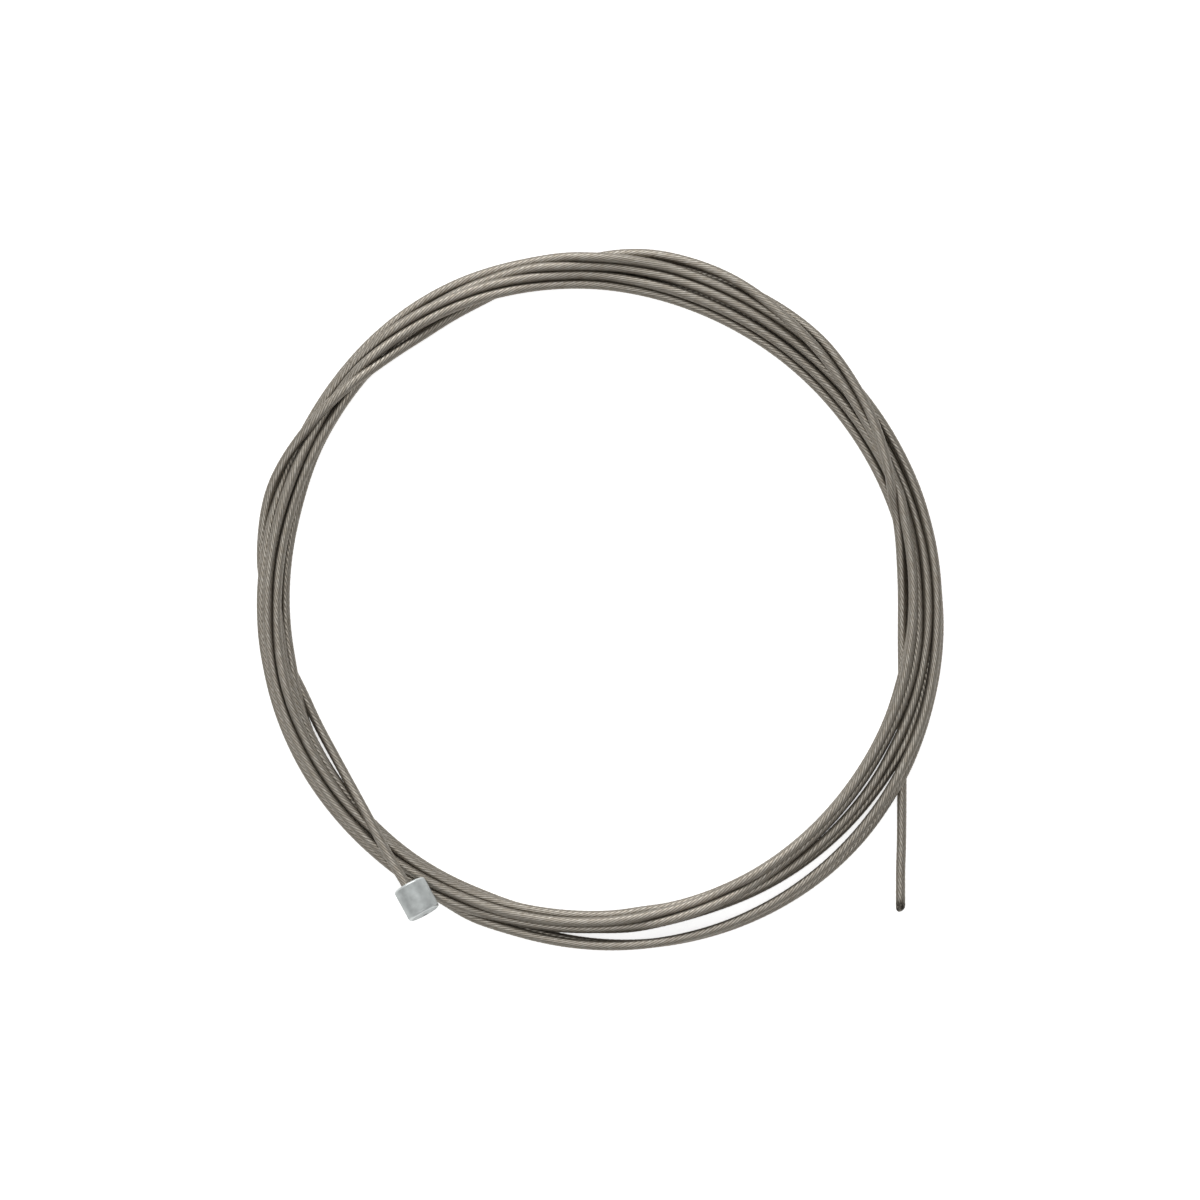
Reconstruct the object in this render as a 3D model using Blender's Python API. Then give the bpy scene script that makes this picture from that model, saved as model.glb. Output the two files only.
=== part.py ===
"""Coiled shift inner cable: a cast head, a stiff strand wound in nearly eight turns, and a fused free end."""

import math

import bpy
import numpy as np

# Sizes in metres
strandWidth = 0.0012
coilMiddle = 0.0420
pageMiddle = 329
pageUnit = 0.0001277
layerRise = 0.00104
headWidth = 0.0043
headLength = 0.0043
headRound = 0.00035
headHeight = 0.00504
headAngle = math.radians(213.92)
headOut = 0.001675
headAim = (0.485, -0.875)
headTilt = math.radians(9.0)
meetGap = 0.0003
leadEnd = 219.4
tailInset = 0.00358
tailAngle = 124
tailBeyond = 0.01416
leadClear = 226
tailClear = 114
tipLength = 0.00085
ringSteps = 90
ringSides = 12
headSides = 40
tipSides = 20
roundSteps = 4

# Each turn: angle clockwise from the top, distance from the middle in page units, layer above the table
turns = [
    [(214.4, 343.6, 4.1), (215.8, 338.1, 4), (218, 334, 3.8), (220, 330, 3.6), (222, 326.1, 3.4),
     (224, 321.8, 3.2), (228, 315.2, 2.6), (232, 311.2, 1.9), (236, 308.7, 1.2), (240, 307.3, .6),
     (246, 308.5, .2), (250, 310.6, .1), (253, 312.3, 0), (257, 316.2, 0), (262, 322, 0), (268, 330.5, 0),
     (273, 336.5, 0), (276, 339.8, 0), (280, 343.9, .3), (284, 346.7, .8), (288, 347.8, 1.3),
     (292, 346.9, 1.8), (296, 343.7, 2.4), (300, 338.7, 2.9), (304, 335.8, 3.1), (308, 332.3, 3.2),
     (312, 328, 3.1), (316, 323.3, 2.7), (320, 320.7, 2.2), (326, 319.2, 1.4), (332, 319.7, .7),
     (336, 321.5, .3), (341, 324.5, 0), (350, 334, 0)],
    [(0, 343.3, 0), (4, 348, .2), (8, 349.5, .5), (13, 350.6, .9), (20, 349.2, 1.4), (24, 346.9, 1.7),
     (28, 343.2, 2), (32, 338.8, 2.1), (36, 335.3, 2.2), (40, 333, 2.2), (44, 329.1, 2.2), (48, 325.6, 2.2),
     (52, 322, 2.1), (56, 321, 2.1), (60, 319.7, 2.1), (64, 317.7, 2.1), (70, 315.5, 2), (78, 314.5, 2),
     (90, 313.5, 2), (100, 313.6, 2.4), (112, 313.7, 2.6), (122, 313.6, 2.2), (138, 314.1, 2.2),
     (146, 315, 2.6), (154, 316.2, 2.6), (162, 317.5, 2.4), (170, 319.2, 2.2), (178, 321.5, 2),
     (190, 324.6, 2), (200, 326.8, 2), (206, 328.2, 2), (212, 330, 2), (218, 331.8, 2), (224, 333.5, 2),
     (232, 334.9, 2), (250, 335, 2), (260, 333.9, 2.4), (268, 333, 3), (280, 331.6, 2.4), (290, 331.1, 2.1),
     (302, 331.4, 2.2), (308, 333.2, 2.2), (314, 333.2, 2.2), (320, 331.9, 2.2), (326, 330.3, 2.2),
     (332, 328.2, 2.2), (338, 325, 2.3), (342, 323, 2.5), (350, 319.3, 2.6), (356, 316.9, 2)],
    [(0, 315.4, 1.5), (10, 311, .8), (20, 307.6, .6), (30, 305.5, .6), (42, 304.5, .6), (54, 304.7, .6),
     (64, 306.1, .6), (70, 307.3, .5), (76, 308.8, .3), (84, 311.5, .2), (92, 312.5, .4), (98, 313, .9),
     (106, 312.8, 1.2), (116, 312.8, 1), (126, 312.9, .3), (136, 313.7, 0), (150, 315, 0), (158, 315.1, .2),
     (166, 315.3, .6), (174, 315.6, 1), (182, 315.9, 1), (190, 317.2, 1), (198, 318.9, 1.2),
     (206, 320.2, 1.4), (214, 321.3, 1.8), (222, 322.7, 2), (230, 325, 2), (240, 325.6, 2), (250, 325.6, 2),
     (258, 324.8, 2.4), (266, 324, 3), (274, 322.9, 2.6), (282, 322.1, 2.1), (292, 321.9, 2), (304, 322.6, 2),
     (308, 323.5, 2), (312, 325.4, 1.9), (318, 329.5, 1.2), (324, 334, 1), (330, 337.8, .9), (336, 338.8, 1),
     (340, 338.9, 1.1), (346, 338.3, 1.6), (350, 337.5, 1.9), (358, 335.5, 1.4)],
    [(0, 334.9, 1.3), (10, 330.6, 1), (20, 327, 1), (30, 324.5, 1), (42, 323.2, 1), (52, 323.2, 1),
     (58, 324, .9), (64, 325, .7), (70, 326, .6), (76, 326.8, .7), (82, 327.5, .9), (87, 328.2, 1.1),
     (94, 329.3, 1.1), (106, 329.7, 1.3), (114, 329.7, 1.6), (122, 329.6, 1.3), (130, 329.3, 1.1),
     (138, 328.8, 1.1), (146, 328.7, 1.1), (154, 328, 1), (162, 326, .9), (170, 323.5, .5), (180, 321, .1),
     (190, 319.9, 0), (200, 319.5, .1), (208, 319.7, .3), (214, 319.6, .8), (222, 319.2, 1), (240, 319.6, 1),
     (247, 319.6, 1.2), (254, 320.3, 1.8), (258, 321.6, 1.6), (262, 322.8, 1.3), (266, 323.5, 1.2),
     (270, 324, 1.1), (275, 324.6, .8), (280, 325, .5), (286, 324.8, .6), (292, 324.3, .9), (300, 325, 1),
     (312, 326, .9), (320, 327.5, .8), (330, 328.5, .9), (340, 328.5, 1.2), (350, 327, 1.4)],
    [(0, 324.5, .3), (10, 322.8, 0), (30, 321.3, 0), (50, 320.6, 0), (56, 319.3, 0), (64, 317.3, 0),
     (72, 317.7, 0), (77, 319.6, 0), (82, 323, 0), (87, 327.5, 0), (92, 331.8, 0), (96, 334.3, 0),
     (102, 336, 0), (108, 336.5, .4), (116, 336.4, 1), (124, 335.8, .6), (130, 334.8, .2), (138, 333.3, 0),
     (146, 331.6, 0), (154, 329.5, 0), (160, 327.8, 0), (170, 327.4, 0), (180, 327.8, 0), (190, 327.7, 0),
     (200, 326.5, 0), (210, 325.5, 0), (236, 325, 0), (240, 323.4, 0), (244, 320.8, 0), (247, 318.9, .2),
     (250, 317.6, .5), (253, 316.8, .8), (257, 316.2, 1), (264, 315.6, .9), (270, 315.4, .4),
     (276, 315.8, .1), (280, 316.5, 0), (288, 318.1, 0), (296, 320.6, 0), (304, 323.8, 0), (312, 327, 0),
     (320, 329, 0), (330, 331, 0), (340, 332, .6), (350, 333, 1)],
    [(0, 332.5, .3), (10, 332.8, 0), (30, 331.3, 0), (48, 330.2, 0), (54, 331, 0), (60, 332.9, 0),
     (66, 334.9, 0), (72, 335.8, 0), (78, 336.3, 0), (84, 336.6, 0), (92, 338, 0), (100, 341.1, 0),
     (104, 343.3, 0), (110, 346.7, .2), (116, 348.8, .9), (120, 349.9, 1), (124, 350.9, .6), (130, 353.4, .2),
     (134, 354.1, 0), (142, 354.4, 0), (150, 353.4, 0), (158, 351.7, 0), (166, 349.3, 0), (172, 347.6, 0),
     (176, 345.7, 0), (180, 343.9, 0), (184, 342, 0), (187, 340.3, 0), (192, 337.6, 0), (198, 335, 0),
     (206, 332.5, .2), (214, 330.8, .5), (222, 330, .8), (240, 330, 1), (258, 329.8, 1.4), (266, 329.5, 2),
     (276, 329.3, 1.2), (288, 330.5, 1), (296, 333.5, 1), (300, 336.5, 1.1), (304, 339.3, 1.2),
     (308, 341.3, 1.3), (312, 342, 1.5), (316, 341.3, 1.6), (320, 340.5, 1.8), (326, 338.7, 2),
     (330, 337.2, 2), (336, 334.8, 2.2), (340, 333.3, 2.4), (346, 331.3, 2.6), (350, 329.9, 2.5),
     (356, 327.1, 1.8)],
    [(0, 325.1, 1.4), (5, 321.9, 1), (10, 319.5, .8), (20, 316.3, .6), (30, 314.2, .6), (42, 313.2, .6),
     (54, 313.7, .7), (62, 315.2, .8), (70, 317.2, 1), (78, 318, 1), (86, 318.5, 1), (94, 319.5, 1),
     (100, 319.9, 1.2), (106, 319.6, 1.7), (112, 319.2, 2), (118, 318.7, 1.6), (126, 318.5, 1.2),
     (134, 318.9, 1.4), (142, 320.4, 1.8), (150, 321.8, 2), (156, 323.6, 2), (162, 325.8, 2),
     (168, 327.2, 1.8), (176, 327.5, 1.5), (186, 329.8, 1.3), (198, 333.2, 1.2), (206, 336.3, 1.1),
     (212, 337, 1.1), (222, 337.4, 1), (232, 339.4, 1), (240, 340.2, 1), (254, 339.9, 1), (260, 338.8, 1.2),
     (268, 337.8, 1.9), (274, 337.4, 1.7), (282, 337.2, 1.1), (290, 337.7, .6), (296, 338.6, .3),
     (301, 339.6, 0), (308, 341.3, 0), (315, 343.3, 0), (321, 345.5, 0), (327, 346.6, 0), (334, 346.8, 0),
     (340, 346.4, .4), (345, 345.4, 1.1), (350, 343.9, 1.6), (358, 342, 1.6)],
    [(0, 342.4, 1.6), (4, 341.6, 1.4), (10, 340.2, 1), (20, 336.5, 1), (30, 334, 1), (36, 333.2, 1),
     (44, 332.6, 1), (52, 332.6, 1), (60, 333.4, 1), (70, 334.9, 1), (78, 336, 1), (86, 336.8, 1),
     (94, 338.1, 1), (100, 340.4, 1), (106, 342.9, 1.2), (112, 344.5, 1.6), (118, 345.8, 2),
     (124, 346.7, 1.5), (130, 347.7, 1.1), (138, 348.8, 1), (146, 349.2, 1), (158, 349.2, 1),
     (168, 347.9, .9), (176, 346.7, .8), (184, 344.9, .8), (192, 342.7, .7), (196, 341.6, .5),
     (200, 340.6, .2), (206, 339, 0), (212, 337.6, 0), (222, 336, 0), (240, 335, 0), (256, 335, .2),
     (266, 334.8, 1), (274, 334.6, .8), (284, 334, 0), (292, 333, 0), (300, 331.5, 0), (312, 333.8, 0),
     (322, 336.3, 0), (332, 337.3, 0), (340, 337.9, 0), (345, 339.5, .4), (350, 340.8, 1)],
    [(0, 341.5, .8), (8, 341.5, .2), (16, 342.4, 0), (28, 343.8, .5), (36, 343, 1.2), (40, 341.7, 1.6),
     (44, 339.2, 2), (48, 334.9, 2.2), (52, 331.2, 2.2), (56, 327.5, 2.5), (60, 323, 2.9), (64, 318.5, 3.1),
     (68, 314.3, 2.8), (72, 310.8, 2.2), (76, 307.7, 1.6), (80, 305, 1), (84, 303.4, .5), (88, 302.7, .2),
     (92, 302.8, 0), (96, 304.2, 0), (100, 307.7, 0), (104, 311.8, 0), (108, 317.4, 0), (112, 325.4, 0),
     (116, 335.4, 0), (120, 347.9, 0), (124, 363.3, 0), (128, 381.9, 0), (132, 404.8, 0)],
]


def smoothed(values, times):
    for _ in range(times):
        values[1:-1] = 0.25 * values[:-2] + 0.5 * values[1:-1] + 0.25 * values[2:]
    return values


# The turns settle on one another: none passes through another, and all rest on the table or on a turn below
def settledLay():
    outPasses = 6            # of smoothing over the chosen distances
    upPasses = 8             # and over the chosen heights
    heldAngle = 10           # degrees past the start where the head holds the strand up no longer
    fadeAngle = 6            # degrees over which its hold fades
    looseHold = 0.02         # share of the way back to the chosen height in each round, past the head's hold
    sink = 0.000012          # each round, where the strand is loose
    rounds = 400
    pulledRounds = 340       # after these the turns only ease apart
    pullOut = 0.08           # share of the way back to the chosen distance in each round
    easeOut = 0.5            # share of each push that is taken across, and upwards
    easeUp = 0.9
    angles = []
    outs = []
    ups = []
    for number, turn in enumerate(turns):
        for angle, out, layer in turn:
            angles.append(angle + 360 * number)
            outs.append(coilMiddle + (out - pageMiddle) * pageUnit)
            ups.append(strandWidth / 2 + layer * layerRise)
    theta = np.arange(angles[0], angles[-1] + 0.01, 1.0)
    wantedOut = smoothed(np.interp(theta, angles, outs), outPasses)
    wantedUp = smoothed(np.interp(theta, angles, ups), upPasses)
    out = wantedOut.copy()
    up = wantedUp.copy()
    hold = np.clip((heldAngle - (theta - theta[0])) / fadeAngle, looseHold, 1)
    loose = hold < 0.1
    for step in range(rounds):
        last = step > pulledRounds
        out += pullOut * (wantedOut - out)
        if not last:
            up += hold * (wantedUp - up) - sink * loose
        moveOut = np.zeros_like(out)
        moveUp = np.zeros_like(up)
        for shift in range(360, len(out), 360):
            away = out[shift:] - out[:-shift]
            above = up[shift:] - up[:-shift]
            apart = np.sqrt(away * away + above * above) + 1e-9
            push = 0.5 * np.clip(strandWidth - apart, 0, None) / apart      # each of the two gives half
            moveOut[shift:] += push * away
            moveOut[:-shift] -= push * away
            moveUp[shift:] += push * above
            moveUp[:-shift] -= push * above
        out += easeOut * moveOut
        up += easeUp * moveUp
        up = np.maximum(up, strandWidth / 2)
        up = smoothed(up, 1 if last else 2)
        out = smoothed(out, 1)
    return theta, out, up


def material(name, colour, metallic, roughness):
    made = bpy.data.materials.new(name)
    made.use_nodes = True
    shader = made.node_tree.nodes["Principled BSDF"]
    shader.inputs["Base Color"].default_value = (*colour, 1.0)
    shader.inputs["Metallic"].default_value = metallic
    shader.inputs["Roughness"].default_value = roughness
    made.diffuse_color = (*colour, 1.0)
    return made


def meshObject(name, points, faces, surface):
    mesh = bpy.data.meshes.new(name)
    mesh.from_pydata([tuple(map(float, point)) for point in points], [], faces)
    mesh.materials.append(surface)
    mesh.update()
    made = bpy.data.objects.new(name, mesh)
    bpy.context.scene.collection.objects.link(made)
    return made


# A tube of the strand's width along points in metres
def strandTube(name, points, surface):
    curve = bpy.data.curves.new(name, "CURVE")
    curve.dimensions = "3D"
    curve.bevel_depth = strandWidth / 2
    curve.bevel_resolution = 2
    curve.use_fill_caps = True
    line = curve.splines.new("POLY")
    line.points.add(len(points) - 1)
    for spot, point in zip(line.points, points):
        spot.co = (*map(float, point), 1.0)
    curve.materials.append(surface)
    made = bpy.data.objects.new(name, curve)
    bpy.context.scene.collection.objects.link(made)
    return made


# A turned solid: (distance along, radius) pairs swept round an axis that starts at a point
def turned(name, start, aim, profile, sides, surface):
    aim = np.array(aim, float) / np.linalg.norm(aim)
    side = np.cross(aim, (0.0, 0.0, 1.0))
    side /= np.linalg.norm(side)
    rise = np.cross(side, aim)
    points = [np.array(start) + aim * profile[0][0]]
    faces = []
    for along, radius in profile[1:-1]:
        for corner in range(sides):
            turn = 2 * math.pi * corner / sides
            outward = math.cos(turn) * side + math.sin(turn) * rise
            points.append(np.array(start) + aim * along + radius * outward)
    points.append(np.array(start) + aim * profile[-1][0])
    rings = len(profile) - 2
    for corner in range(sides):
        after = (corner + 1) % sides
        faces.append((0, 1 + corner, 1 + after))
        for ring in range(rings - 1):
            low = 1 + ring * sides
            high = low + sides
            faces.append((low + corner, high + corner, high + after, low + after))
        top = 1 + (rings - 1) * sides
        faces.append((top + corner, len(points) - 1, top + after))
    return meshObject(name, points, faces, surface)


# The closed outer shape of the wound turns: a convex section at each angle round the ring
def coilRing(theta, out, up, surface):
    looks = [2 * math.pi * side / ringSides for side in range(ringSides)]
    reach = np.zeros((ringSteps, ringSides))
    for step in range(ringSteps):
        angle = 360 * step / ringSteps
        middles = []
        for number in range(len(turns)):
            at = angle + 360 * number
            inLead = number == 0 and angle < leadClear
            inTail = number == len(turns) - 1 and angle > tailClear
            if not inLead and not inTail and theta[0] <= at <= theta[-1]:
                middles.append((np.interp(at, theta, out) - coilMiddle, np.interp(at, theta, up)))
        for side, look in enumerate(looks):
            far = [away * math.cos(look) + high * math.sin(look) for away, high in middles]
            reach[step, side] = max(far) + strandWidth / 2
    for _ in range(2):
        reach = 0.25 * np.roll(reach, 1, axis=0) + 0.5 * reach + 0.25 * np.roll(reach, -1, axis=0)
    reach[:, ringSides * 3 // 4] = 0.0      # the side that looks straight down lies on the table
    points = []
    faces = []
    for step in range(ringSteps):
        angle = 2 * math.pi * step / ringSteps
        for side in range(ringSides):
            first = looks[side]
            second = looks[(side + 1) % ringSides]
            near = reach[step, side]
            far = reach[step, (side + 1) % ringSides]
            spread = math.sin(second - first)
            away = (near * math.sin(second) - far * math.sin(first)) / spread
            high = (far * math.cos(first) - near * math.cos(second)) / spread
            radius = coilMiddle + away
            points.append((radius * math.sin(angle), radius * math.cos(angle), max(high, 0.0)))
            here = step * ringSides
            there = (step + 1) % ringSteps * ringSides
            after = (side + 1) % ringSides
            faces.append((here + side, here + after, there + after, there + side))
    return meshObject("strand_coil", points, faces, surface)


for old in list(bpy.data.objects):
    bpy.data.objects.remove(old, do_unlink=True)

drawnWire = material("drawn_stainless_wire", (0.20, 0.18, 0.16), 1.0, 0.35)
castZinc = material("die_cast_zinc", (0.37, 0.38, 0.37), 0.9, 0.45)
fusedWire = material("fused_wire", (0.07, 0.06, 0.05), 0.8, 0.5)

theta, out, up = settledLay()
spots = np.stack([out * np.sin(np.radians(theta)), out * np.cos(np.radians(theta)), up], axis=1)
coilRing(theta, out, up, drawnWire)

# Head, held in the air by the stiff strand
aim = (math.cos(headTilt) * headAim[0], math.cos(headTilt) * headAim[1], math.sin(headTilt))
aim = np.array(aim) / np.linalg.norm(aim)
headReach = coilMiddle + headOut
headStart = np.array((headReach * math.sin(headAngle), headReach * math.cos(headAngle), headHeight))
radius = headWidth / 2
profile = [(0.0, 0.0), (0.0, radius - headRound)]
flatTo = radius - headRound
for step in range(1, roundSteps + 1):
    turn = math.pi / 2 * step / roundSteps
    profile.append((headRound * (1 - math.cos(turn)), flatTo + headRound * math.sin(turn)))
for step in range(roundSteps + 1):
    turn = math.pi / 2 * step / roundSteps
    profile.append((headLength - headRound + headRound * math.sin(turn), flatTo + headRound * math.cos(turn)))
profile.append((headLength, 0.0))
turned("cable_head", headStart, aim, profile, headSides, castZinc)

# The strand from the head's face to the coil
strandOff = np.array((-0.00045, 0.0002, 0.0))      # from the face's middle
leadAngles = (216.0, 217.2, 218.4, leadEnd)
leadSpots = [headStart - aim * meetGap + strandOff]
for angle in leadAngles:
    leadSpots.append(np.array([np.interp(angle, theta, spots[:, axis]) for axis in range(3)]))
strandTube("strand_lead", leadSpots, drawnWire)

# The straight free end and its fused tip, from just outside the turns beside it
tailAcross = coilMiddle - tailInset
besideTail = [np.interp(tailAngle + 360 * number, theta, out) for number in range(1, len(turns) - 1)]
edge = max(besideTail) + strandWidth / 2 + meetGap
tailStart = -math.sqrt(edge ** 2 - (tailAcross - strandWidth / 2) ** 2)
tipStop = tailStart - tailBeyond
tipStart = tipStop + tipLength
tailStop = tipStart + meetGap
tailSpots = [(tailAcross, spot, strandWidth / 2) for spot in np.linspace(tailStart, tailStop, 6)]
strandTube("strand_tail", tailSpots, drawnWire)
tipRound = 0.35 * strandWidth
tipProfile = [(0.0, 0.0), (0.0, strandWidth / 2)]
for step in range(roundSteps):
    turn = math.pi / 2 * step / roundSteps
    tipProfile.append((tipLength - tipRound + tipRound * math.sin(turn), strandWidth / 2 * math.cos(turn)))
tipProfile.append((tipLength, 0.0))
tipMiddle = (tailAcross, tipStart, strandWidth / 2)
turned("fused_tip", tipMiddle, (0.0, -1.0, 0.0), tipProfile, tipSides, fusedWire)
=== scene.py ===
import math

import bpy
import numpy as np
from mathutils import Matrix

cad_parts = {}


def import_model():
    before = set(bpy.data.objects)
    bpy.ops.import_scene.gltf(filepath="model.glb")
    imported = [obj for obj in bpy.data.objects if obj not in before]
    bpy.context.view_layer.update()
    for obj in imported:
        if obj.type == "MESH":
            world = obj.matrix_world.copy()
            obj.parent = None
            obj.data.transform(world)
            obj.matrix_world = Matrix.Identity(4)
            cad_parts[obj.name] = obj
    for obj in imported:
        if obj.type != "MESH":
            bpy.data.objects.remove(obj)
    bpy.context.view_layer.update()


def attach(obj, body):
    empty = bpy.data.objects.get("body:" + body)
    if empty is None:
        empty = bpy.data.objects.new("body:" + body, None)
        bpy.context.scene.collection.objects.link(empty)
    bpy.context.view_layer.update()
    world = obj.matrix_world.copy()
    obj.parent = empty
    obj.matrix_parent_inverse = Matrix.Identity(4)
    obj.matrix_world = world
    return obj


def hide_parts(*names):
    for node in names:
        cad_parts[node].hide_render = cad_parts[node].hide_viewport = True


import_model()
print("frame loaded")


def mm(value):
    return value / 1000


# camera: straight above, far off with a long lens, its frame 153.2 mm wide at the coil's mid height
cameraView = {
    "frameWidth": mm(153.24),
    "away": 1.2,
    "sensor": 36,
    "aimHeight": mm(2),
    "nearClip": 0.01,
    "farClip": 20,
}

cameraData = bpy.data.cameras.new("cameraAbove")
cameraData.sensor_width = cameraView["sensor"]
cameraData.lens = cameraView["sensor"] * cameraView["away"] / cameraView["frameWidth"]
cameraData.clip_start = cameraView["nearClip"]
cameraData.clip_end = cameraView["farClip"]
camera = bpy.data.objects.new("cameraAbove", cameraData)
camera.location = (0, 0, cameraView["away"] + cameraView["aimHeight"])
bpy.context.scene.collection.objects.link(camera)
bpy.context.scene.camera = camera
print("camera set")

# the strand: 12 outer wires laid left-handed, nearly eight turns, then a straight free end
strand = {
    "width": mm(1.2),
    "outerWires": 12,
    "layLength": mm(9.5),      # one full twist of an outer wire
    "crest": mm(0.62),         # the outer wires' tops stand a hair proud of the nominal width
    "groove": mm(0.065),       # how far the valleys between wires go in
    "coilMiddle": mm(42),
    "pageMiddle": 329,         # the coil's middle circle, in the page units below
    "pageUnit": mm(0.1277),
    "layerRise": mm(1.04),     # less than the width, because a turn sinks between the two below it
    "rings": 4050,             # cross sections along the whole strand
    "lineRounding": 6,         # passes of smoothing over the whole middle line
    "intoHead": mm(0.8),
    "lifted": 217,             # where the route is back among the turns, in degrees
    "tailInset": mm(3.58),     # the free end runs this far inside the coil's middle circle
    "tailStop": mm(-38.95),    # inside the fused tip
}

head = {
    "width": mm(4.3),
    "length": mm(4.3),
    "round": mm(0.35),
    "height": mm(5.04),
    "angle": math.radians(213.92),
    "out": mm(1.675),
    "aim": (0.485, -0.875),
    "tilt": math.radians(9),
    "strandOff": (mm(-0.45), mm(0.2), 0),      # where the strand leaves, from the face's middle
    "sides": 96,
    "roundSteps": 8,           # edges across each rounded rim
}

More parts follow.
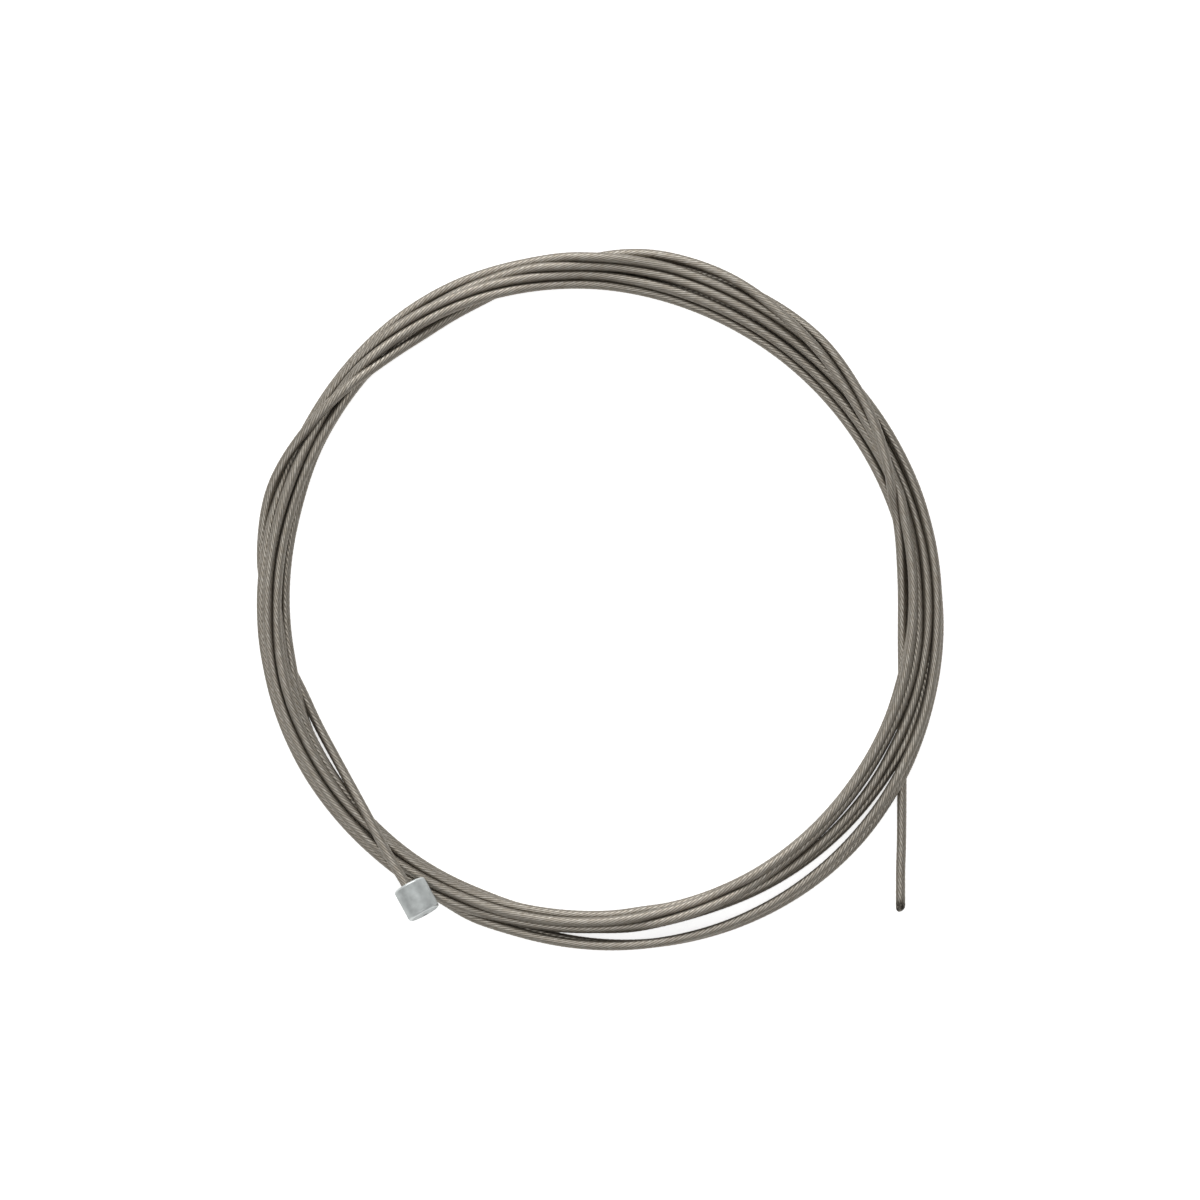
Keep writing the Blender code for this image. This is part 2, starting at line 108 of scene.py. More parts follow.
# each turn: angle clockwise from the top, distance from the middle in page units, layer above the table
turns = [
    [(214.4, 343.6, 4.1), (215.8, 338.1, 4), (218, 334, 3.8), (220, 330, 3.6), (222, 326.1, 3.4),
     (224, 321.8, 3.2), (228, 315.2, 2.6), (232, 311.2, 1.9), (236, 308.7, 1.2), (240, 307.3, .6),
     (246, 308.5, .2), (250, 310.6, .1), (253, 312.3, 0), (257, 316.2, 0), (262, 322, 0), (268, 330.5, 0),
     (273, 336.5, 0), (276, 339.8, 0), (280, 343.9, .3), (284, 346.7, .8), (288, 347.8, 1.3),
     (292, 346.9, 1.8), (296, 343.7, 2.4), (300, 338.7, 2.9), (304, 335.8, 3.1), (308, 332.3, 3.2),
     (312, 328, 3.1), (316, 323.3, 2.7), (320, 320.7, 2.2), (326, 319.2, 1.4), (332, 319.7, .7),
     (336, 321.5, .3), (341, 324.5, 0), (350, 334, 0)],
    [(0, 343.3, 0), (4, 348, .2), (8, 349.5, .5), (13, 350.6, .9), (20, 349.2, 1.4), (24, 346.9, 1.7),
     (28, 343.2, 2), (32, 338.8, 2.1), (36, 335.3, 2.2), (40, 333, 2.2), (44, 329.1, 2.2), (48, 325.6, 2.2),
     (52, 322, 2.1), (56, 321, 2.1), (60, 319.7, 2.1), (64, 317.7, 2.1), (70, 315.5, 2), (78, 314.5, 2),
     (90, 313.5, 2), (100, 313.6, 2.4), (112, 313.7, 2.6), (122, 313.6, 2.2), (138, 314.1, 2.2),
     (146, 315, 2.6), (154, 316.2, 2.6), (162, 317.5, 2.4), (170, 319.2, 2.2), (178, 321.5, 2),
     (190, 324.6, 2), (200, 326.8, 2), (206, 328.2, 2), (212, 330, 2), (218, 331.8, 2), (224, 333.5, 2),
     (232, 334.9, 2), (250, 335, 2), (260, 333.9, 2.4), (268, 333, 3), (280, 331.6, 2.4), (290, 331.1, 2.1),
     (302, 331.4, 2.2), (308, 333.2, 2.2), (314, 333.2, 2.2), (320, 331.9, 2.2), (326, 330.3, 2.2),
     (332, 328.2, 2.2), (338, 325, 2.3), (342, 323, 2.5), (350, 319.3, 2.6), (356, 316.9, 2)],
    [(0, 315.4, 1.5), (10, 311, .8), (20, 307.6, .6), (30, 305.5, .6), (42, 304.5, .6), (54, 304.7, .6),
     (64, 306.1, .6), (70, 307.3, .5), (76, 308.8, .3), (84, 311.5, .2), (92, 312.5, .4), (98, 313, .9),
     (106, 312.8, 1.2), (116, 312.8, 1), (126, 312.9, .3), (136, 313.7, 0), (150, 315, 0), (158, 315.1, .2),
     (166, 315.3, .6), (174, 315.6, 1), (182, 315.9, 1), (190, 317.2, 1), (198, 318.9, 1.2),
     (206, 320.2, 1.4), (214, 321.3, 1.8), (222, 322.7, 2), (230, 325, 2), (240, 325.6, 2), (250, 325.6, 2),
     (258, 324.8, 2.4), (266, 324, 3), (274, 322.9, 2.6), (282, 322.1, 2.1), (292, 321.9, 2), (304, 322.6, 2),
     (308, 323.5, 2), (312, 325.4, 1.9), (318, 329.5, 1.2), (324, 334, 1), (330, 337.8, .9), (336, 338.8, 1),
     (340, 338.9, 1.1), (346, 338.3, 1.6), (350, 337.5, 1.9), (358, 335.5, 1.4)],
    [(0, 334.9, 1.3), (10, 330.6, 1), (20, 327, 1), (30, 324.5, 1), (42, 323.2, 1), (52, 323.2, 1),
     (58, 324, .9), (64, 325, .7), (70, 326, .6), (76, 326.8, .7), (82, 327.5, .9), (87, 328.2, 1.1),
     (94, 329.3, 1.1), (106, 329.7, 1.3), (114, 329.7, 1.6), (122, 329.6, 1.3), (130, 329.3, 1.1),
     (138, 328.8, 1.1), (146, 328.7, 1.1), (154, 328, 1), (162, 326, .9), (170, 323.5, .5), (180, 321, .1),
     (190, 319.9, 0), (200, 319.5, .1), (208, 319.7, .3), (214, 319.6, .8), (222, 319.2, 1), (240, 319.6, 1),
     (247, 319.6, 1.2), (254, 320.3, 1.8), (258, 321.6, 1.6), (262, 322.8, 1.3), (266, 323.5, 1.2),
     (270, 324, 1.1), (275, 324.6, .8), (280, 325, .5), (286, 324.8, .6), (292, 324.3, .9), (300, 325, 1),
     (312, 326, .9), (320, 327.5, .8), (330, 328.5, .9), (340, 328.5, 1.2), (350, 327, 1.4)],
    [(0, 324.5, .3), (10, 322.8, 0), (30, 321.3, 0), (50, 320.6, 0), (56, 319.3, 0), (64, 317.3, 0),
     (72, 317.7, 0), (77, 319.6, 0), (82, 323, 0), (87, 327.5, 0), (92, 331.8, 0), (96, 334.3, 0),
     (102, 336, 0), (108, 336.5, .4), (116, 336.4, 1), (124, 335.8, .6), (130, 334.8, .2), (138, 333.3, 0),
     (146, 331.6, 0), (154, 329.5, 0), (160, 327.8, 0), (170, 327.4, 0), (180, 327.8, 0), (190, 327.7, 0),
     (200, 326.5, 0), (210, 325.5, 0), (236, 325, 0), (240, 323.4, 0), (244, 320.8, 0), (247, 318.9, .2),
     (250, 317.6, .5), (253, 316.8, .8), (257, 316.2, 1), (264, 315.6, .9), (270, 315.4, .4),
     (276, 315.8, .1), (280, 316.5, 0), (288, 318.1, 0), (296, 320.6, 0), (304, 323.8, 0), (312, 327, 0),
     (320, 329, 0), (330, 331, 0), (340, 332, .6), (350, 333, 1)],
    [(0, 332.5, .3), (10, 332.8, 0), (30, 331.3, 0), (48, 330.2, 0), (54, 331, 0), (60, 332.9, 0),
     (66, 334.9, 0), (72, 335.8, 0), (78, 336.3, 0), (84, 336.6, 0), (92, 338, 0), (100, 341.1, 0),
     (104, 343.3, 0), (110, 346.7, .2), (116, 348.8, .9), (120, 349.9, 1), (124, 350.9, .6), (130, 353.4, .2),
     (134, 354.1, 0), (142, 354.4, 0), (150, 353.4, 0), (158, 351.7, 0), (166, 349.3, 0), (172, 347.6, 0),
     (176, 345.7, 0), (180, 343.9, 0), (184, 342, 0), (187, 340.3, 0), (192, 337.6, 0), (198, 335, 0),
     (206, 332.5, .2), (214, 330.8, .5), (222, 330, .8), (240, 330, 1), (258, 329.8, 1.4), (266, 329.5, 2),
     (276, 329.3, 1.2), (288, 330.5, 1), (296, 333.5, 1), (300, 336.5, 1.1), (304, 339.3, 1.2),
     (308, 341.3, 1.3), (312, 342, 1.5), (316, 341.3, 1.6), (320, 340.5, 1.8), (326, 338.7, 2),
     (330, 337.2, 2), (336, 334.8, 2.2), (340, 333.3, 2.4), (346, 331.3, 2.6), (350, 329.9, 2.5),
     (356, 327.1, 1.8)],
    [(0, 325.1, 1.4), (5, 321.9, 1), (10, 319.5, .8), (20, 316.3, .6), (30, 314.2, .6), (42, 313.2, .6),
     (54, 313.7, .7), (62, 315.2, .8), (70, 317.2, 1), (78, 318, 1), (86, 318.5, 1), (94, 319.5, 1),
     (100, 319.9, 1.2), (106, 319.6, 1.7), (112, 319.2, 2), (118, 318.7, 1.6), (126, 318.5, 1.2),
     (134, 318.9, 1.4), (142, 320.4, 1.8), (150, 321.8, 2), (156, 323.6, 2), (162, 325.8, 2),
     (168, 327.2, 1.8), (176, 327.5, 1.5), (186, 329.8, 1.3), (198, 333.2, 1.2), (206, 336.3, 1.1),
     (212, 337, 1.1), (222, 337.4, 1), (232, 339.4, 1), (240, 340.2, 1), (254, 339.9, 1), (260, 338.8, 1.2),
     (268, 337.8, 1.9), (274, 337.4, 1.7), (282, 337.2, 1.1), (290, 337.7, .6), (296, 338.6, .3),
     (301, 339.6, 0), (308, 341.3, 0), (315, 343.3, 0), (321, 345.5, 0), (327, 346.6, 0), (334, 346.8, 0),
     (340, 346.4, .4), (345, 345.4, 1.1), (350, 343.9, 1.6), (358, 342, 1.6)],
    [(0, 342.4, 1.6), (4, 341.6, 1.4), (10, 340.2, 1), (20, 336.5, 1), (30, 334, 1), (36, 333.2, 1),
     (44, 332.6, 1), (52, 332.6, 1), (60, 333.4, 1), (70, 334.9, 1), (78, 336, 1), (86, 336.8, 1),
     (94, 338.1, 1), (100, 340.4, 1), (106, 342.9, 1.2), (112, 344.5, 1.6), (118, 345.8, 2),
     (124, 346.7, 1.5), (130, 347.7, 1.1), (138, 348.8, 1), (146, 349.2, 1), (158, 349.2, 1),
     (168, 347.9, .9), (176, 346.7, .8), (184, 344.9, .8), (192, 342.7, .7), (196, 341.6, .5),
     (200, 340.6, .2), (206, 339, 0), (212, 337.6, 0), (222, 336, 0), (240, 335, 0), (256, 335, .2),
     (266, 334.8, 1), (274, 334.6, .8), (284, 334, 0), (292, 333, 0), (300, 331.5, 0), (312, 333.8, 0),
     (322, 336.3, 0), (332, 337.3, 0), (340, 337.9, 0), (345, 339.5, .4), (350, 340.8, 1)],
    [(0, 341.5, .8), (8, 341.5, .2), (16, 342.4, 0), (28, 343.8, .5), (36, 343, 1.2), (40, 341.7, 1.6),
     (44, 339.2, 2), (48, 334.9, 2.2), (52, 331.2, 2.2), (56, 327.5, 2.5), (60, 323, 2.9), (64, 318.5, 3.1),
     (68, 314.3, 2.8), (72, 310.8, 2.2), (76, 307.7, 1.6), (80, 305, 1), (84, 303.4, .5), (88, 302.7, .2),
     (92, 302.8, 0), (96, 304.2, 0), (100, 307.7, 0), (104, 311.8, 0), (108, 317.4, 0), (112, 325.4, 0),
     (116, 335.4, 0), (120, 347.9, 0), (124, 363.3, 0), (128, 381.9, 0), (132, 404.8, 0)],
]

# rounds of pulling each turn towards its chosen place and pushing it off the turns it presses into
settling = {
    "outPasses": 6,            # of smoothing over the chosen distances
    "upPasses": 8,             # and over the chosen heights
    "heldAngle": 10,           # degrees past the start where the head holds the strand up no longer
    "fadeAngle": 6,            # degrees over which its hold fades
    "looseHold": 0.02,         # share of the way back to the chosen height in each round, past that
    "sink": mm(0.012),         # each round, where the strand is loose
    "rounds": 400,
    "pulledRounds": 340,       # after these the turns only ease apart
    "pullOut": 0.08,           # share of the way back to the chosen distance in each round
    "easeOut": 0.5,            # share of each push that is taken across, and upwards
    "easeUp": 0.9,
}


def smoothed(values, times):
    for _ in range(times):
        values[1:-1] = 0.25 * values[:-2] + 0.5 * values[1:-1] + 0.25 * values[2:]
    return values


# the turns settle on one another, each resting on the table or on a turn below
def settledLay():
    angles = []
    outs = []
    ups = []
    for number, turn in enumerate(turns):
        for angle, out, layer in turn:
            angles.append(angle + 360 * number)
            outs.append(strand["coilMiddle"] + (out - strand["pageMiddle"]) * strand["pageUnit"])
            ups.append(strand["width"] / 2 + layer * strand["layerRise"])
    theta = np.arange(angles[0], angles[-1] + 0.01, 1.0)
    wantedOut = smoothed(np.interp(theta, angles, outs), settling["outPasses"])
    wantedUp = smoothed(np.interp(theta, angles, ups), settling["upPasses"])
    out = wantedOut.copy()
    up = wantedUp.copy()
    held = (settling["heldAngle"] - (theta - theta[0])) / settling["fadeAngle"]
    hold = np.clip(held, settling["looseHold"], 1)
    loose = hold < 0.1
    for step in range(settling["rounds"]):
        last = step > settling["pulledRounds"]
        out += settling["pullOut"] * (wantedOut - out)
        if not last:
            up += hold * (wantedUp - up) - settling["sink"] * loose
        moveOut = np.zeros_like(out)
        moveUp = np.zeros_like(up)
        for shift in range(360, len(out), 360):
            away = out[shift:] - out[:-shift]
            above = up[shift:] - up[:-shift]
            apart = np.sqrt(away * away + above * above) + 1e-9
            push = 0.5 * np.clip(strand["width"] - apart, 0, None) / apart      # each of the two gives half
            moveOut[shift:] += push * away
            moveOut[:-shift] -= push * away
            moveUp[shift:] += push * above
            moveUp[:-shift] -= push * above
        out += settling["easeOut"] * moveOut
        up += settling["easeUp"] * moveUp
        up = np.maximum(up, strand["width"] / 2)
        up = smoothed(up, 1 if last else 2)
        out = smoothed(out, 1)
    return theta, out, up


def unit(vector):
    vector = np.array(vector, float)
    return vector / np.linalg.norm(vector)


# the head's axis points from the face that the strand leaves to the far end
level = math.cos(head["tilt"])
headAim = unit((level * head["aim"][0], level * head["aim"][1], math.sin(head["tilt"])))
headSide = unit(np.cross(headAim, (0, 0, 1)))
headRise = np.cross(headSide, headAim)
headReach = strand["coilMiddle"] + head["out"]
headAcross = headReach * math.sin(head["angle"])
headBack = headReach * math.cos(head["angle"])
headFace = np.array((headAcross, headBack, head["height"]))
strandExit = headFace + np.array(head["strandOff"])


# the strand's middle line, from inside the head to the fused tip, with its points evenly along it
def strandLine():
    theta, out, up = settledLay()
    wound = np.stack([out * np.sin(np.radians(theta)), out * np.cos(np.radians(theta)), up], axis=1)
    wound = wound[theta >= strand["lifted"]]
    inside = [strandExit + headAim * strand["intoHead"] * share for share in (1, 0.5, 0)]
    join = [strandExit + (wound[0] - strandExit) * share for share in (0.25, 0.5, 0.75)]
    tailAcross = strand["coilMiddle"] - strand["tailInset"]
    last = wound[-1]
    tail = []
    for share in np.linspace(0, 1, 8)[1:]:
        tail.append((tailAcross, last[1] + (strand["tailStop"] - last[1]) * share, strand["width"] / 2))
    line = np.concatenate([inside, join, wound, tail])
    along = np.concatenate([[0], np.cumsum(np.linalg.norm(np.diff(line, axis=0), axis=1))])
    even = np.linspace(0, along[-1], strand["rings"])
    line = np.stack([np.interp(even, along, line[:, axis]) for axis in range(3)], axis=1)
    for axis in range(3):
        line[:, axis] = smoothed(line[:, axis].copy(), strand["lineRounding"])
    line[:, 2] = np.maximum(line[:, 2], strand["width"] / 2)
    return line


def strandMesh(line):
    steps = np.linalg.norm(np.diff(line, axis=0), axis=1)
    along = np.concatenate([[0], np.cumsum(steps)])
    forward = np.gradient(line, axis=0)
    forward /= np.linalg.norm(forward, axis=1)[:, None]
    side = np.cross(forward, (0, 0, 1))
    side /= np.linalg.norm(side, axis=1)[:, None]
    rise = np.cross(side, forward)
    corners = 2 * strand["outerWires"]
    corner = np.arange(corners)
    reach = strand["crest"] - strand["groove"] * (corner % 2)     # a crest, then a valley
    turn = 2 * math.pi * (corner[None, :] / corners + along[:, None] / strand["layLength"])
    outward = np.cos(turn)[:, :, None] * side[:, None, :] + np.sin(turn)[:, :, None] * rise[:, None, :]
    points = (line[:, None, :] + reach[None, :, None] * outward).reshape(-1, 3)
    points[:, 2] = np.maximum(points[:, 2], 0)      # flat on the table
    rings = len(line)
    ring = np.arange(rings - 1)[:, None] * corners
    after = (corner + 1) % corners
    quads = np.stack([ring + corner, ring + after, ring + corners + after, ring + corners + corner], axis=-1)
    ends = [corner[::-1].tolist(), (corner + (rings - 1) * corners).tolist()]
    mesh = bpy.data.meshes.new("strand")
    mesh.from_pydata(points.tolist(), [], quads.reshape(-1, 4).tolist() + ends)
    # across the page of this map: once round the strand; up it: along the strand
    layer = mesh.uv_layers.new(name="strandMap")
    low = np.broadcast_to(along[:-1, None] / along[-1], (rings - 1, corners))
    high = np.broadcast_to(along[1:, None] / along[-1], (rings - 1, corners))
    left = np.broadcast_to(corner / corners, (rings - 1, corners))
    right = left + 1 / corners
    places = np.stack([left, low, right, low, right, high, left, high], axis=-1).reshape(-1, 2)
    places = np.concatenate([places, np.zeros((2 * corners, 2))])
    layer.data.foreach_set("uv", places.astype(np.float32).ravel())
    mesh.polygons.foreach_set("use_smooth", [True] * len(mesh.polygons))
    mesh.update()
    made = bpy.data.objects.new("strand", mesh)
    bpy.context.scene.collection.objects.link(made)
    return made, along[-1]


line = strandLine()
strandPiece, strandLength = strandMesh(line)
print("strand laid, length in mm:", round(strandLength * 1000, 1))


# a turned form: (distance along, radius) pairs swept round an axis
def turnedForm(name, start, aim, side, rise, profile, sides):
    points = [start + aim * profile[0][0]]
    faces = []
    for along, radius in profile[1:-1]:
        for corner in range(sides):
            turn = 2 * math.pi * corner / sides
            outward = math.cos(turn) * side + math.sin(turn) * rise
            points.append(start + aim * along + radius * outward)
    points.append(start + aim * profile[-1][0])
    rings = len(profile) - 2
    for corner in range(sides):
        after = (corner + 1) % sides
        faces.append((0, 1 + corner, 1 + after))
        for ring in range(rings - 1):
            low = 1 + ring * sides
            high = low + sides
            faces.append((low + corner, high + corner, high + after, low + after))
        top = 1 + (rings - 1) * sides
        faces.append((top + corner, len(points) - 1, top + after))
    mesh = bpy.data.meshes.new(name)
    mesh.from_pydata([tuple(map(float, point)) for point in points], [], faces)
    mesh.polygons.foreach_set("use_smooth", [True] * len(mesh.polygons))
    mesh.update()
    made = bpy.data.objects.new(name, mesh)
    bpy.context.scene.collection.objects.link(made)
    return made


def headForm():
    radius = head["width"] / 2
    turnedIn = head["round"]
    flatTo = radius - turnedIn
    farRound = head["length"] - turnedIn
    steps = head["roundSteps"]
    faceShares = (0.2, 0.4, 0.6, 0.8, 0.94)
    profile = [(0, 0)]
    for share in faceShares:
        profile.append((0, flatTo * share))
    for step in range(steps + 1):
        turn = math.pi / 2 * step / steps
        profile.append((turnedIn * (1 - math.cos(turn)), flatTo + turnedIn * math.sin(turn)))
    for share in np.linspace(0, 1, 14)[1:-1]:
        profile.append((turnedIn + (farRound - turnedIn) * share, radius))
    for step in range(steps + 1):
        turn = math.pi / 2 * step / steps
        profile.append((farRound + turnedIn * math.sin(turn), flatTo + turnedIn * math.cos(turn)))
    for share in reversed(faceShares):
        profile.append((head["length"], flatTo * share))
    profile.append((head["length"], 0))
    return turnedForm("castHead", headFace, headAim, headSide, headRise, profile, head["sides"])


fusedTip = {
    "from": mm(-38.8),
    "to": mm(-39.84),
    "slant": mm(0.2),
    "domeFrom": 0.4,           # share of its length where the drop starts to close
    "sides": 32,
    "roundSteps": 8,
}


def tipForm():
    length = fusedTip["from"] - fusedTip["to"]
    domeFrom = fusedTip["domeFrom"]
    radius = strand["width"] / 2
    profile = [(0, 0), (0, radius * 0.9)]
    for share in (0.15, 0.3):
        profile.append((length * share, radius))
    for step in range(fusedTip["roundSteps"]):
        turn = math.pi / 2 * step / fusedTip["roundSteps"]
        profile.append((length * (domeFrom + (1 - domeFrom) * math.sin(turn)), radius * math.cos(turn)))
    profile.append((length, 0))
    start = np.array((strand["coilMiddle"] - strand["tailInset"], fusedTip["from"], radius))
    aim = unit((0, -1, 0))
    side = unit((1, 0, 0))
    rise = unit((0, 0, 1))
    made = turnedForm("fusedTip", start, aim, side, rise, profile, fusedTip["sides"])
    for vertex in made.data.vertices:      # a little askew: shorter on its outer side
        share = (fusedTip["from"] - vertex.co.y) / length
        vertex.co.y += fusedTip["slant"] * share * (vertex.co.x - start[0]) / radius
    return made


headPiece = headForm()
tipPiece = tipForm()
print("head and tip formed")


def linear(hexColour):
    value = hexColour.lstrip("#")
    parts = []
    for start in (0, 2, 4):
        part = int(value[start:start + 2], 16) / 255
        parts.append(part / 12.92 if part <= 0.04045 else ((part + 0.055) / 1.055) ** 2.4)
    return (*parts, 1)


def newMaterial(name):
    made = bpy.data.materials.new(name)
    made.use_nodes = True
    made.node_tree.nodes.clear()
    return made, made.node_tree


# settings are the node's own values; inputs are numbers or colours for its sockets, or (node, output) links
def addNode(tree, kind, settings=None, inputs=None):
    node = tree.nodes.new(kind)
    for name, value in (settings or {}).items():
        setattr(node, name, value)
    for name, value in (inputs or {}).items():
        if isinstance(value, tuple) and isinstance(value[0], bpy.types.Node):
            tree.links.new(value[0].outputs[value[1]], node.inputs[name])
        else:
            node.inputs[name].default_value = value
    return node


# stainless steel wire, drawn through dies and stranded: satin, warm grey, with painted shade as dark lines in
# the valleys where wires meet
drawnWire = {
    "metal": "#a69e92",
    "worn": "#bbb6ad",
    # groove: painted shade, the colour laid in the valleys between wires
    "groove": "#5c564c",
    "heated": "#4c4740",
    "heatedLength": 1.3,       # mm before the fused end
    "streaksPerMm": 0.9,       # the dies' brighter and duller stretches along a wire
    "roughness": 0.48,
    "bump": 0.3,
    "bumpDepth": mm(0.3),
}


def drawnStainlessWire(length):
    made, tree = newMaterial("drawnStainlessWire")
    lengthMm = length * 1000
    heatedFrom = lengthMm - drawnWire["heatedLength"]
    place = addNode(tree, "ShaderNodeUVMap", {"uv_map": "strandMap"})
    split = addNode(tree, "ShaderNodeSeparateXYZ", {}, {"Vector": (place, "UV")})
    wires = addNode(tree, "ShaderNodeMath", {"operation": "MULTIPLY"},
                    {0: (split, "X"), 1: strand["outerWires"]})
    fromCrest = addNode(tree, "ShaderNodeMath", {"operation": "PINGPONG"}, {0: (wires, 0), 1: 0.5})
    # painted shade: this mask darkens the valleys between the wires, where shade falls
    paintedGrooveShade = addNode(tree, "ShaderNodeMapRange", {"interpolation_type": "SMOOTHSTEP"},
                         {"Value": (fromCrest, 0), "From Min": 0.28, "From Max": 0.5})
    # each wire is its own number across and runs its own way along, 1 unit for each mm
    wireNumber = addNode(tree, "ShaderNodeMath", {"operation": "ROUND"}, {0: (wires, 0)})
    alongMm = addNode(tree, "ShaderNodeMath", {"operation": "MULTIPLY"}, {0: (split, "Y"), 1: lengthMm})
    streakPlace = addNode(tree, "ShaderNodeCombineXYZ", {}, {"X": (wireNumber, 0), "Y": (alongMm, 0)})
    streak = addNode(tree, "ShaderNodeTexNoise", {},
                     {"Vector": (streakPlace, 0), "Scale": drawnWire["streaksPerMm"], "Detail": 3.0})
    sheen = addNode(tree, "ShaderNodeMapRange", {}, {"Value": (streak, 0), "From Min": 0.35, "From Max": 0.7})
    metal = addNode(tree, "ShaderNodeMix", {"data_type": "RGBA"}, {"Factor": (sheen, 0)})
    metal.inputs[6].default_value = linear(drawnWire["metal"])
    metal.inputs[7].default_value = linear(drawnWire["worn"])
    colour = addNode(tree, "ShaderNodeMix", {"data_type": "RGBA"}, {"Factor": (paintedGrooveShade, 0)})
    tree.links.new(metal.outputs[2], colour.inputs[6])
    colour.inputs[7].default_value = linear(drawnWire["groove"])
    roundness = addNode(tree, "ShaderNodeMath", {"operation": "POWER"}, {0: (fromCrest, 0), 1: 2.0})
    bump = addNode(tree, "ShaderNodeBump", {"invert": True},
                   {"Height": (roundness, 0), "Strength": drawnWire["bump"],
                    "Distance": drawnWire["bumpDepth"]})
    # the last stretch is tinted by the torch that fused the end, unevenly
    heatedPart = addNode(tree, "ShaderNodeMapRange", {"interpolation_type": "SMOOTHSTEP"},
                         {"Value": (alongMm, 0), "From Min": heatedFrom, "From Max": lengthMm})
    patch = addNode(tree, "ShaderNodeTexNoise", {}, {"Vector": (place, "UV"), "Scale": 2.0, "Detail": 1.0})
    patchy = addNode(tree, "ShaderNodeMapRange", {}, {"Value": (patch, 0), "From Min": 0.3, "From Max": 0.6})
    heat = addNode(tree, "ShaderNodeMath", {"operation": "MULTIPLY"}, {0: (heatedPart, 0), 1: (patchy, 0)})
    tinted = addNode(tree, "ShaderNodeMix", {"data_type": "RGBA"}, {"Factor": (heat, 0)})
    tree.links.new(colour.outputs[2], tinted.inputs[6])
    tinted.inputs[7].default_value = linear(drawnWire["heated"])
    shader = addNode(tree, "ShaderNodeBsdfPrincipled", {},
                     {"Base Color": (tinted, 2), "Metallic": 1.0, "Roughness": drawnWire["roughness"],
                      "Normal": (bump, 0)})
    addNode(tree, "ShaderNodeOutputMaterial", {}, {"Surface": (shader, 0)})
    return made


# zinc alloy, die cast and tumbled: dull silver, fine grained and slightly mottled, its rims a little
# brighter, partly burnished by tumbling and partly a painted highlight
castZinc = {
    "metal": "#c5c9c8",
    "dull": "#b2b6b5",
    # rim colour: burnish wear together with a painted highlight
    "burnishedAndHighlight": "#d4d8d7",
    "gate": "#6f7271",
    "roughness": 0.58,
    "burnishedRoughness": 0.38,
    "mottle": mm(1.1),
    "grain": mm(0.12),
    "grainDepth": mm(0.03),
    "rim": mm(0.4),             # of each rim that tumbling has burnished, and that is painted lighter as a highlight
    "gateWidth": mm(0.5),       # the mark where the metal flowed in, low on the far face
    "gateBelow": mm(1),
}


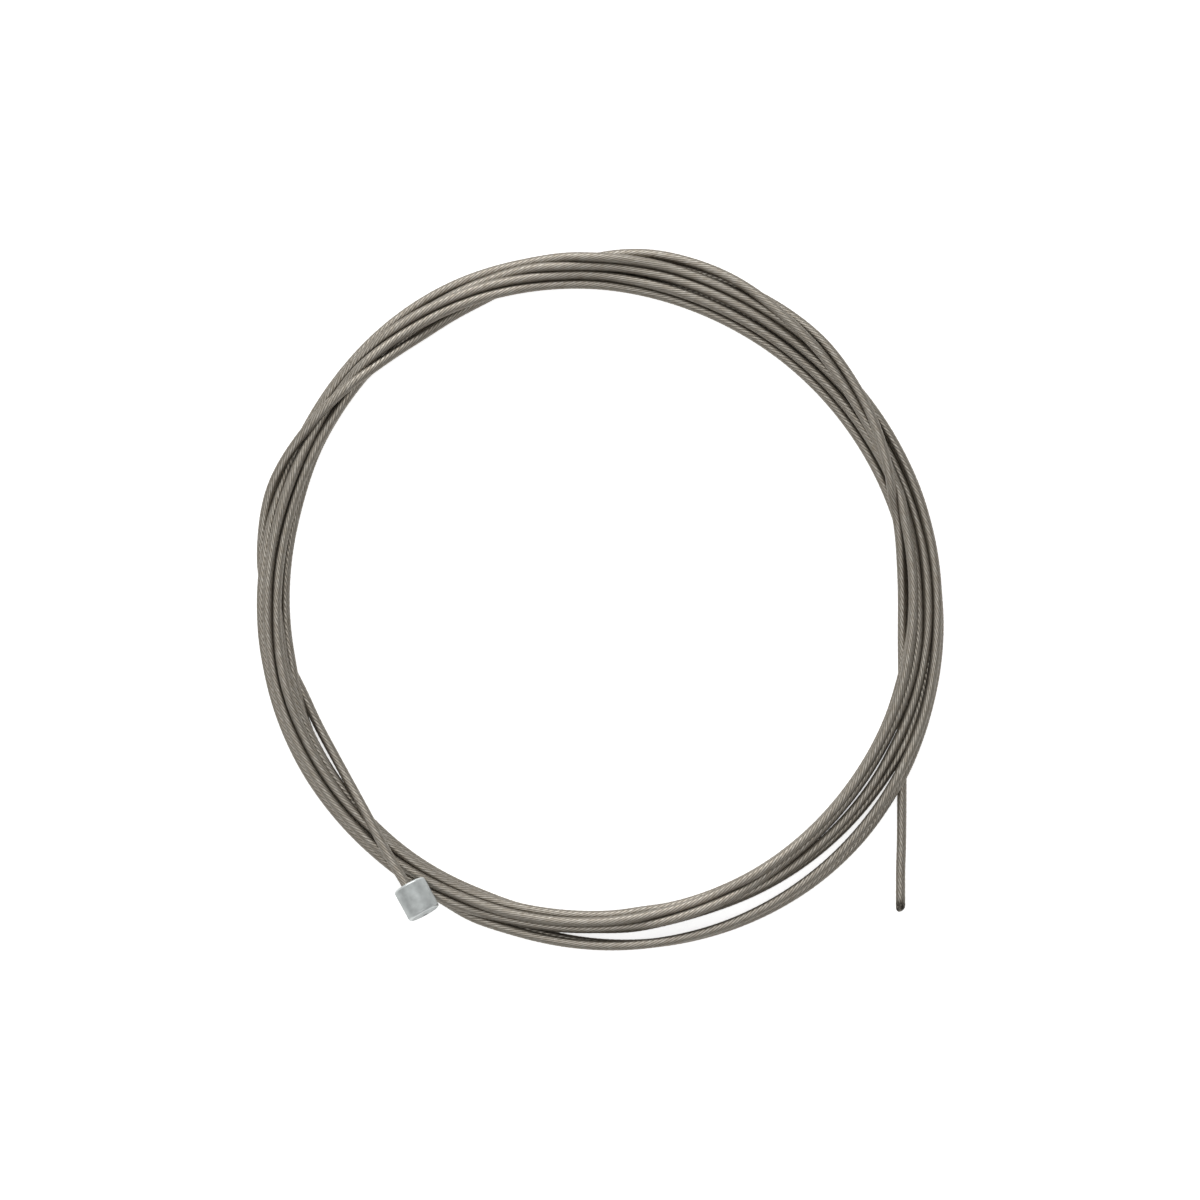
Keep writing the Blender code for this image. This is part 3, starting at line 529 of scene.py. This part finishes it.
def dieCastZinc():
    made, tree = newMaterial("dieCastZinc")
    place = addNode(tree, "ShaderNodeTexCoord")
    mottle = addNode(tree, "ShaderNodeTexNoise", {},
                     {"Vector": (place, "Object"), "Scale": 1 / castZinc["mottle"], "Detail": 4.0})
    mottled = addNode(tree, "ShaderNodeMapRange", {},
                      {"Value": (mottle, 0), "From Min": 0.35, "From Max": 0.65})
    colour = addNode(tree, "ShaderNodeMix", {"data_type": "RGBA"}, {"Factor": (mottled, 0)})
    colour.inputs[6].default_value = linear(castZinc["metal"])
    colour.inputs[7].default_value = linear(castZinc["dull"])
    grain = addNode(tree, "ShaderNodeTexNoise", {},
                    {"Vector": (place, "Object"), "Scale": 1 / castZinc["grain"], "Detail": 2.0})
    bump = addNode(tree, "ShaderNodeBump", {},
                   {"Height": (grain, 0), "Strength": 0.25, "Distance": castZinc["grainDepth"]})
    # distance along the head from its near face and out from its axis, for the rims that are burnished and
    # painted lighter as a highlight
    fromFace = addNode(tree, "ShaderNodeVectorMath", {"operation": "SUBTRACT"},
                       {0: (place, "Object"), 1: tuple(headFace)})
    along = addNode(tree, "ShaderNodeVectorMath", {"operation": "DOT_PRODUCT"},
                    {0: (fromFace, 0), 1: tuple(headAim)})
    toEnd = addNode(tree, "ShaderNodeMath", {"operation": "PINGPONG"},
                    {0: (along, "Value"), 1: head["length"] / 2})
    onAxis = addNode(tree, "ShaderNodeVectorMath", {"operation": "SCALE"},
                     {0: tuple(headAim), "Scale": (along, "Value")})
    outward = addNode(tree, "ShaderNodeVectorMath", {"operation": "DISTANCE"},
                      {0: (fromFace, 0), 1: (onAxis, 0)})
    rimWidth = castZinc["rim"]
    radius = head["width"] / 2
    nearEnd = addNode(tree, "ShaderNodeMapRange", {"interpolation_type": "SMOOTHSTEP"},
                      {"Value": (toEnd, 0), "From Min": rimWidth, "From Max": rimWidth / 3})
    nearRim = addNode(tree, "ShaderNodeMapRange", {"interpolation_type": "SMOOTHSTEP"},
                      {"Value": (outward, "Value"), "From Min": radius - rimWidth,
                       "From Max": radius - rimWidth / 2})
    rim = addNode(tree, "ShaderNodeMath", {"operation": "MULTIPLY"}, {0: (nearEnd, 0), 1: (nearRim, 0)})
    # the rims turn lighter partly from burnishing and partly as a painted highlight where the rim edge
    # catches the light
    burnishedAndHighlight = addNode(tree, "ShaderNodeMix", {"data_type": "RGBA"}, {"Factor": (rim, 0)})
    tree.links.new(colour.outputs[2], burnishedAndHighlight.inputs[6])
    burnishedAndHighlight.inputs[7].default_value = linear(castZinc["burnishedAndHighlight"])
    smoother = addNode(tree, "ShaderNodeMapRange", {},
                       {"Value": (rim, 0), "To Min": castZinc["roughness"],
                        "To Max": castZinc["burnishedRoughness"]})
    gateSpot = headFace + headAim * head["length"] - headRise * castZinc["gateBelow"]
    fromGate = addNode(tree, "ShaderNodeVectorMath", {"operation": "DISTANCE"},
                       {0: (place, "Object"), 1: tuple(gateSpot)})
    gate = addNode(tree, "ShaderNodeMapRange", {"interpolation_type": "SMOOTHSTEP"},
                   {"Value": (fromGate, "Value"), "From Min": castZinc["gateWidth"],
                    "From Max": castZinc["gateWidth"] / 2})
    marked = addNode(tree, "ShaderNodeMix", {"data_type": "RGBA"}, {"Factor": (gate, 0)})
    tree.links.new(burnishedAndHighlight.outputs[2], marked.inputs[6])
    marked.inputs[7].default_value = linear(castZinc["gate"])
    shader = addNode(tree, "ShaderNodeBsdfPrincipled", {},
                     {"Base Color": (marked, 2), "Metallic": 1.0, "Roughness": (smoother, 0),
                      "Normal": (bump, 0)})
    addNode(tree, "ShaderNodeOutputMaterial", {}, {"Surface": (shader, 0)})
    return made


# the same wire melted at its end: dark oxide, rough, with bare flecks
fusedWire = {
    "oxide": "#403c37",
    "bare": "#938d83",
    "roughness": 0.5,
    "fleck": mm(0.35),
    "fleckDepth": mm(0.08),
}


def fusedWireEnd():
    made, tree = newMaterial("fusedWireEnd")
    place = addNode(tree, "ShaderNodeTexCoord")
    fleck = addNode(tree, "ShaderNodeTexNoise", {},
                    {"Vector": (place, "Object"), "Scale": 1 / fusedWire["fleck"], "Detail": 5.0})
    flecked = addNode(tree, "ShaderNodeMapRange", {},
                      {"Value": (fleck, 0), "From Min": 0.45, "From Max": 0.7})
    colour = addNode(tree, "ShaderNodeMix", {"data_type": "RGBA"}, {"Factor": (flecked, 0)})
    colour.inputs[6].default_value = linear(fusedWire["oxide"])
    colour.inputs[7].default_value = linear(fusedWire["bare"])
    bump = addNode(tree, "ShaderNodeBump", {},
                   {"Height": (fleck, 0), "Strength": 0.5, "Distance": fusedWire["fleckDepth"]})
    shader = addNode(tree, "ShaderNodeBsdfPrincipled", {},
                     {"Base Color": (colour, 2), "Metallic": 1.0, "Roughness": fusedWire["roughness"],
                      "Normal": (bump, 0)})
    addNode(tree, "ShaderNodeOutputMaterial", {}, {"Surface": (shader, 0)})
    return made


strandPiece.data.materials.append(drawnStainlessWire(strandLength))
headPiece.data.materials.append(dieCastZinc())
tipPiece.data.materials.append(fusedWireEnd())
print("materials made")

for piece in (strandPiece, headPiece, tipPiece):
    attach(piece, "root")
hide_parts("strand_coil", "strand_lead", "strand_tail")
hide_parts("cable_head")
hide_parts("fused_tip")

# floor of plain white paper, and soft light
studio = {
    "floorColour": "#f4f4f4",
    "floorReach": 1.5,
    "seenLift": 0.67,
    "reflectedLift": 0.35,
    "world": 0.42,
}

# name, place, size and power in watts: the key comes low from behind, so the turns shade each other
lamps = [
    ("keyBehind", (-0.3, 1.17, 0.53), (1.5, 0.65), 11),
    ("stripAbove", (0, 0.1, 1.55), (0.5, 2.2), 5.5),
    ("fillLeft", (-0.9, -0.2, 0.8), (0.8, 0.8), 1.5),
]


def floor():
    mesh = bpy.data.meshes.new("floor")
    reach = studio["floorReach"]
    corners = [(-reach, -reach, 0), (reach, -reach, 0), (reach, reach, 0), (-reach, reach, 0)]
    mesh.from_pydata(corners, [], [(0, 1, 2, 3)])
    made = bpy.data.objects.new("floor", mesh)
    bpy.context.scene.collection.objects.link(made)
    paper, tree = newMaterial("whitePaper")
    diffuse = addNode(tree, "ShaderNodeBsdfDiffuse", {}, {"Color": linear(studio["floorColour"])})
    # lifted to white where the camera sees it, a little where the metal reflects it, and not as a light
    rays = addNode(tree, "ShaderNodeLightPath")
    seen = addNode(tree, "ShaderNodeMath", {"operation": "MULTIPLY"},
                   {0: (rays, "Is Camera Ray"), 1: studio["seenLift"]})
    strength = addNode(tree, "ShaderNodeMath", {"operation": "MULTIPLY_ADD"},
                       {0: (rays, "Is Glossy Ray"), 1: studio["reflectedLift"], 2: (seen, 0)})
    lift = addNode(tree, "ShaderNodeEmission", {}, {"Strength": (strength, 0)})
    both = addNode(tree, "ShaderNodeAddShader", {}, {0: (diffuse, 0), 1: (lift, 0)})
    addNode(tree, "ShaderNodeOutputMaterial", {}, {"Surface": (both, 0)})
    mesh.materials.append(paper)


def softLight(name, place, size, power):      # aimed at the middle of the coil
    data = bpy.data.lights.new(name, "AREA")
    data.shape = "RECTANGLE"
    data.size = size[0]
    data.size_y = size[1]
    data.energy = power
    made = bpy.data.objects.new(name, data)
    made.location = place
    away = unit(place)
    made.rotation_euler = (math.acos(away[2]), 0, math.atan2(away[1], away[0]) + math.pi / 2)
    bpy.context.scene.collection.objects.link(made)


def world():
    made = bpy.data.worlds.new("studio")
    made.use_nodes = True
    background = made.node_tree.nodes["Background"]
    background.inputs["Color"].default_value = (1, 1, 1, 1)
    background.inputs["Strength"].default_value = studio["world"]
    bpy.context.scene.world = made


floor()
world()
for name, place, size, power in lamps:
    softLight(name, place, size, power)
bpy.context.scene.view_settings.view_transform = "Standard"
print("floor and light set")
